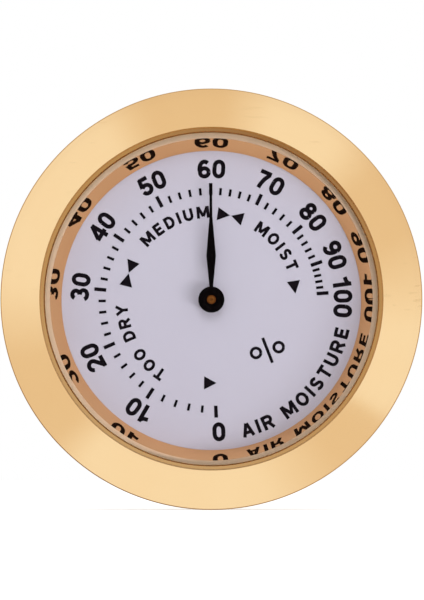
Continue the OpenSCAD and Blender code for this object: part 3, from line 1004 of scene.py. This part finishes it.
@dataclass
class CaseShell:
    """The drawn cup and the rubber band that holds it in a panel."""

    soft: float = 0.06
    band_soft: float = 0.08
    band_steps: int = 3

    def build(self) -> None:
        """Softens and dresses both."""
        cup = node_copy("case", "case_drawn")
        soften(cup, self.soft)
        dress(cup, CASE_GOLD.material())
        place(cup, Body.CASE, "case_gold", "case")
        band = node_copy("retaining_band", "retaining_band_moulded")
        soften(band, self.band_soft, self.band_steps)
        dress(band, BAND_RUBBER.material())
        place(band, Body.CASE, "band_rubber", "retaining_band")


# The studio


@dataclass(frozen=True)
class Lamp:
    """A soft rectangular lamp that points at the dial and that no mirror or glass shows."""

    name: str
    spot: tuple[float, float, float]
    size: Point
    watts: float

    def build(self) -> None:
        """Sets the lamp in its place."""
        data = bpy.data.lights.new(self.name, "AREA")
        data.energy = self.watts
        data.shape = "RECTANGLE"
        data.size, data.size_y = self.size[0] * MM, self.size[1] * MM
        lamp = bpy.data.objects.new(self.name, data)
        lamp.location = Vector(self.spot) * MM
        lamp.rotation_euler = (-lamp.location).to_track_quat("-Z", "Y").to_euler()
        lamp.visible_glossy = False
        lamp.visible_transmission = False
        bpy.context.collection.objects.link(lamp)


@dataclass
class LightTent:
    """A tent of light: white for the camera, soft on the dial, and panelled for what is polished.

    Each edge is a turn where the tone of a warm panel, or of the white between two, is reached. The
    spans are limits of the Y part of a direction, between which one tone gives way to the next.
    """

    ambient: float = 0.66
    panel: str = "#EEE2D3"
    edges: tuple[tuple[int, bool], ...] = (
        (4, True), (17, False), (36, False), (48, True), (67, True), (92, False), (118, False),
        (122, True), (137, True), (164, False), (221, False), (232, True), (257, True),
        (279, False), (330, False), (343, True))
    front: str = "#141414"
    front_span: Span = (-0.985, -0.955)
    side_span: Span = (0.84, 0.66)
    shade_turn: float = 205.0
    sides: tuple[Tone, ...] = (
        (0.05, "#C8B9A6"), (0.35, "#BFA88B"), (0.725, "#B8A07E"), (0.875, "#A2886E"),
        (0.965, "#7F5E3A"))

    def ahead(self, tree: Tree, parts: Node) -> Socket:
        """Colours the front of the tent: panels round the axis, and a dark round where it opens.

        Args:
            tree: The world's tree.
            parts: The node that gives the X, Y and Z parts of a direction.

        Returns:
            The colour.
        """
        turn = add_node(tree, "ShaderNodeMath", {
            0: parts.outputs["X"], 1: parts.outputs["Z"]}, operation="ARCTAN2")
        share = add_node(tree, "ShaderNodeMath", {
            0: turn.outputs["Value"], 1: math.tau}, operation="DIVIDE")
        around = add_node(tree, "ShaderNodeMath", {
            0: share.outputs["Value"], 1: 1.0, 2: 0.0}, operation="WRAP")
        panels = add_node(tree, "ShaderNodeValToRGB", {"Fac": around.outputs["Value"]})
        grade(panels.color_ramp, [
            (degrees / FULL_TURN, self.panel if warm else WHITE) for degrees, warm in self.edges])
        front = add_node(tree, "ShaderNodeMapRange", {
            "Value": parts.outputs["Y"], "From Min": self.front_span[0],
            "From Max": self.front_span[1]}, interpolation_type="SMOOTHSTEP")
        mix = add_node(tree, "ShaderNodeMixRGB", {
            "Fac": front.outputs["Result"], "Color1": linear(self.front),
            "Color2": panels.outputs["Color"]})
        return mix.outputs["Color"]

    def beside(self, tree: Tree, way: Socket) -> Socket:
        """Colours the sides of the tent, which get browner towards the shaded turn.

        Args:
            tree: The world's tree.
            way: The direction.

        Returns:
            The colour.
        """
        shade = math.radians(self.shade_turn)
        toward = add_node(tree, "ShaderNodeVectorMath", {
            0: way, 1: (math.sin(shade), 0.0, math.cos(shade))}, operation="DOT_PRODUCT")
        spread = add_node(tree, "ShaderNodeMapRange", {
            "Value": toward.outputs["Value"], "From Min": -1.0, "From Max": 1.0})
        ramp = add_node(tree, "ShaderNodeValToRGB", {"Fac": spread.outputs["Result"]})
        grade(ramp.color_ramp, self.sides)
        return ramp.outputs["Color"]

    def inside(self, tree: Tree) -> Socket:
        """Colours the tent as polished metal and glass show it.

        Args:
            tree: The world's tree.

        Returns:
            The colour.
        """
        way = add_node(tree, "ShaderNodeTexCoord").outputs["Generated"]
        parts = add_node(tree, "ShaderNodeSeparateXYZ", {"Vector": way})
        level = add_node(tree, "ShaderNodeMath", {0: parts.outputs["Y"]}, operation="ABSOLUTE")
        edgewise = add_node(tree, "ShaderNodeMapRange", {
            "Value": level.outputs["Value"], "From Min": self.side_span[0],
            "From Max": self.side_span[1]}, interpolation_type="SMOOTHSTEP")
        mix = add_node(tree, "ShaderNodeMixRGB", {
            "Fac": edgewise.outputs["Result"], "Color1": self.ahead(tree, parts),
            "Color2": self.beside(tree, way)})
        return mix.outputs["Color"]

    def build(self) -> None:
        """Hangs the tent."""
        world = bpy.data.worlds.new("light_tent")
        bpy.context.scene.world = world
        world.use_nodes = True
        tree = world.node_tree
        tree.nodes.clear()
        path = add_node(tree, "ShaderNodeLightPath")
        mirrored = add_node(tree, "ShaderNodeBackground", {
            "Color": self.inside(tree), "Strength": 1.0})
        soft = add_node(tree, "ShaderNodeBackground", {
            "Color": linear(WHITE), "Strength": self.ambient})
        white = add_node(tree, "ShaderNodeBackground", {"Color": linear(WHITE), "Strength": 1.0})
        bright = add_node(tree, "ShaderNodeMath", {
            0: path.outputs["Is Glossy Ray"], 1: path.outputs["Is Transmission Ray"]},
            operation="MAXIMUM")
        first = add_node(tree, "ShaderNodeMixShader", {
            0: bright.outputs["Value"], 1: soft.outputs["Background"],
            2: mirrored.outputs["Background"]})
        shown = add_node(tree, "ShaderNodeMixShader", {
            0: path.outputs["Is Camera Ray"], 1: first.outputs["Shader"],
            2: white.outputs["Background"]})
        add_node(tree, "ShaderNodeOutputWorld", {"Surface": shown.outputs["Shader"]})


@dataclass
class Floor:
    """A pale floor under the rim, which stays white for the camera and keeps the shadow."""

    height: float = -22.5
    size: float = 6000.0
    cuts: int = 3
    tones: tuple[str, str] = ("#EDEDED", "#F3F3F3")
    grain_w: float = 0.8
    glow: float = 0.56

    def paper(self) -> Material:
        """Builds the floor's finish.

        Returns:
            The material.
        """
        # Matt white paper: a faint grain, lifted to white for the camera alone
        material = bpy.data.materials.new("paper_white")
        material.use_nodes = True
        tree = material.node_tree
        tree.nodes.clear()
        coords = add_node(tree, "ShaderNodeTexCoord").outputs["Object"]
        grain = add_node(tree, "ShaderNodeTexNoise", {
            "Vector": coords, "Scale": per_mm(self.grain_w), "Detail": 3.0})
        tone = add_node(tree, "ShaderNodeMixRGB", {
            "Fac": grain.outputs["Fac"], "Color1": linear(self.tones[0]),
            "Color2": linear(self.tones[1])})
        paper = add_node(tree, "ShaderNodeBsdfDiffuse", {"Color": tone.outputs["Color"]})
        path = add_node(tree, "ShaderNodeLightPath")
        lift = add_node(tree, "ShaderNodeMath", {
            0: path.outputs["Is Camera Ray"], 1: self.glow}, operation="MULTIPLY")
        glow = add_node(tree, "ShaderNodeEmission", {"Strength": lift.outputs["Value"]})
        both = add_node(tree, "ShaderNodeAddShader", {
            0: paper.outputs["BSDF"], 1: glow.outputs["Emission"]})
        add_node(tree, "ShaderNodeOutputMaterial", {"Surface": both.outputs["Shader"]})
        return material

    def build(self) -> None:
        """Lays the floor."""
        deselect()
        bpy.ops.mesh.primitive_plane_add(size=self.size * MM)
        floor = bpy.context.object
        floor.name = floor.data.name = "floor"
        bpy.ops.object.mode_set(mode="EDIT")
        bpy.ops.mesh.select_all(action="SELECT")
        bpy.ops.transform.translate(value=(0.0, 0.0, self.height * MM))
        bpy.ops.mesh.subdivide(number_cuts=self.cuts)
        bpy.ops.object.mode_set(mode="OBJECT")
        floor.visible_glossy = False
        floor.visible_transmission = False
        # The key lamp stands lower than the floor, which mustn't keep its light from the dial
        floor.visible_shadow = False
        dress(floor, self.paper())


@dataclass
class Studio:
    """The camera, a key lamp low at the right, a fill lamp in front, the tent and the floor."""

    distance: float = 400.0
    lens: float = 224.15
    sensor_w: float = 36.0
    nearest: float = 10.0
    stand: Point = (-1.0, -19.0)
    aim: Point = (0.07, -0.04)
    key: Lamp = Lamp("key_lamp", (330.0, -400.0, -190.0), (350.0, 40.0), 1.2)
    fill: Lamp = Lamp("fill_lamp", (30.0, -500.0, 220.0), (240.0, 240.0), 0.68)
    tent: LightTent = field(default_factory=LightTent)
    floor: Floor = field(default_factory=Floor)

    def camera(self) -> None:
        """Sets the camera in front of the dial, a little below its axis."""
        data = bpy.data.cameras.new("camera")
        data.lens = self.lens
        data.sensor_width = self.sensor_w
        data.clip_start = self.nearest * MM
        camera = bpy.data.objects.new("camera", data)
        camera.location = Vector((self.stand[0], -self.distance, self.stand[1])) * MM
        sight = Vector((self.aim[0], 0.0, self.aim[1])) * MM - camera.location
        camera.rotation_euler = sight.to_track_quat("-Z", "Y").to_euler()
        bpy.context.collection.objects.link(camera)
        bpy.context.scene.camera = camera

    def build(self) -> None:
        """Sets up the camera, the lamps, the tent and the floor."""
        bpy.context.scene.view_settings.view_transform = "Standard"
        self.camera()
        for fitting in (self.key, self.fill, self.tent, self.floor):
            fitting.build()


def clear_default_scene() -> None:
    """Removes the start scene's own objects, which aren't part of the frame."""
    for name in ("Cube", "Light", "Camera"):
        if name in bpy.data.objects:
            bpy.data.objects.remove(bpy.data.objects[name])


def main() -> None:
    """Builds the studio and each sub-assembly."""
    logging.basicConfig(level=logging.INFO, format="%(name)s: %(message)s")
    clear_default_scene()
    for part in (Studio(), BezelRing(), Glazing(), DialFace(), Needle(), Movement(), CaseShell()):
        part.build()
        LOG.info("%s done", type(part).__name__)


if __name__ == "__main__":
    main()
